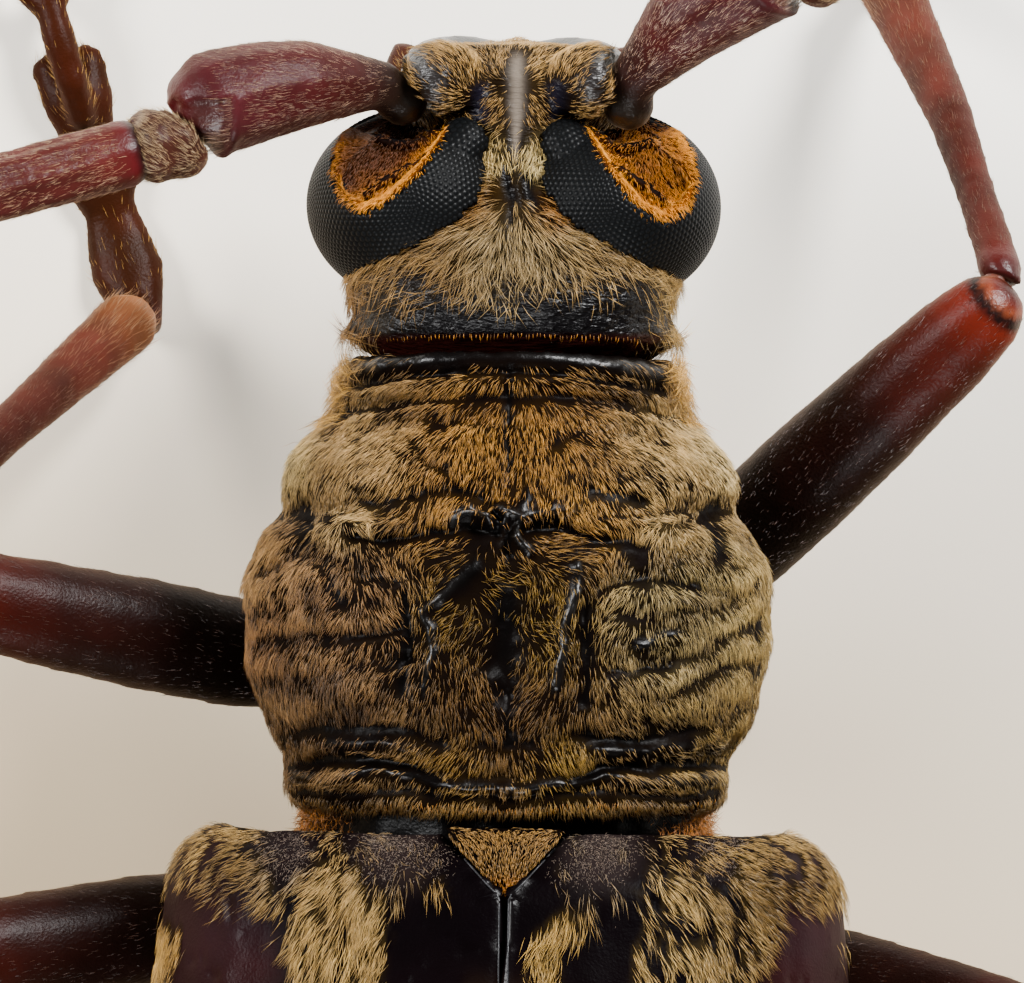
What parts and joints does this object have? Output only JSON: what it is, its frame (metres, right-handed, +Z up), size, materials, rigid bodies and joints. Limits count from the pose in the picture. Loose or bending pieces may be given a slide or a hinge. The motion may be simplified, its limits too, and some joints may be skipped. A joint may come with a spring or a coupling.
{
  "type": "longhorn beetle",
  "caption": "Still, life-size longhorn beetle (Pachydissus) standing on its feet, with long swept feelers.",
  "frame": {"origin": "on the floor, under the middle of the model's box", "axes": "+Z up from the floor, -Y towards the head, +X towards the beetle's left"},
  "size_m": [0.0708, 0.0524, 0.0141],
  "materials": {
    "dark_shell": "gloss",
    "gold_down": "short fur",
    "wing_case": "satin",
    "red_limb": "gloss",
    "eye_black": "gloss"
  },
  "bodies": {
    "root": {"head": "gold_down", "eye_left": "eye_black", "eye_right": "eye_black", "mandible_left": "dark_shell", "mandible_right": "dark_shell", "palp_left": "red_limb", "palp_right": "red_limb", "prothorax": "gold_down", "scutellum": "gold_down", "wing_case_left": "wing_case", "wing_case_right": "wing_case", "rear_thorax": "gold_down", "abdomen": "dark_shell", "fore_coxa_left": "dark_shell", "fore_coxa_right": "dark_shell", "fore_femur_left": "red_limb", "fore_femur_right": "red_limb", "fore_tibia_left": "red_limb", "fore_tibia_right": "red_limb", "fore_foot_left": "red_limb", "fore_foot_right": "red_limb", "mid_coxa_left": "dark_shell", "mid_coxa_right": "dark_shell", "mid_femur_left": "red_limb", "mid_femur_right": "red_limb", "mid_tibia_left": "red_limb", "mid_tibia_right": "red_limb", "mid_foot_left": "red_limb", "mid_foot_right": "red_limb", "hind_coxa_left": "dark_shell", "hind_coxa_right": "dark_shell", "hind_femur_left": "red_limb", "hind_femur_right": "red_limb", "hind_tibia_left": "red_limb", "hind_tibia_right": "red_limb", "hind_foot_left": "red_limb", "hind_foot_right": "red_limb", "feeler_scape_left": "red_limb", "feeler_scape_right": "red_limb", "feeler_pedicel_left": "red_limb", "feeler_pedicel_right": "red_limb", "feeler_link3_left": "red_limb", "feeler_link3_right": "red_limb", "feeler_link4_left": "red_limb", "feeler_link4_right": "red_limb", "feeler_link5_left": "red_limb", "feeler_link5_right": "red_limb", "feeler_link6_left": "red_limb", "feeler_link6_right": "red_limb", "feeler_link7_left": "red_limb", "feeler_link7_right": "red_limb", "feeler_link8_left": "red_limb", "feeler_link8_right": "red_limb", "feeler_link9_left": "red_limb", "feeler_link9_right": "red_limb", "feeler_link10_left": "red_limb", "feeler_link10_right": "red_limb", "feeler_link11_left": "red_limb", "feeler_link11_right": "red_limb"}
  },
  "joints": []
}
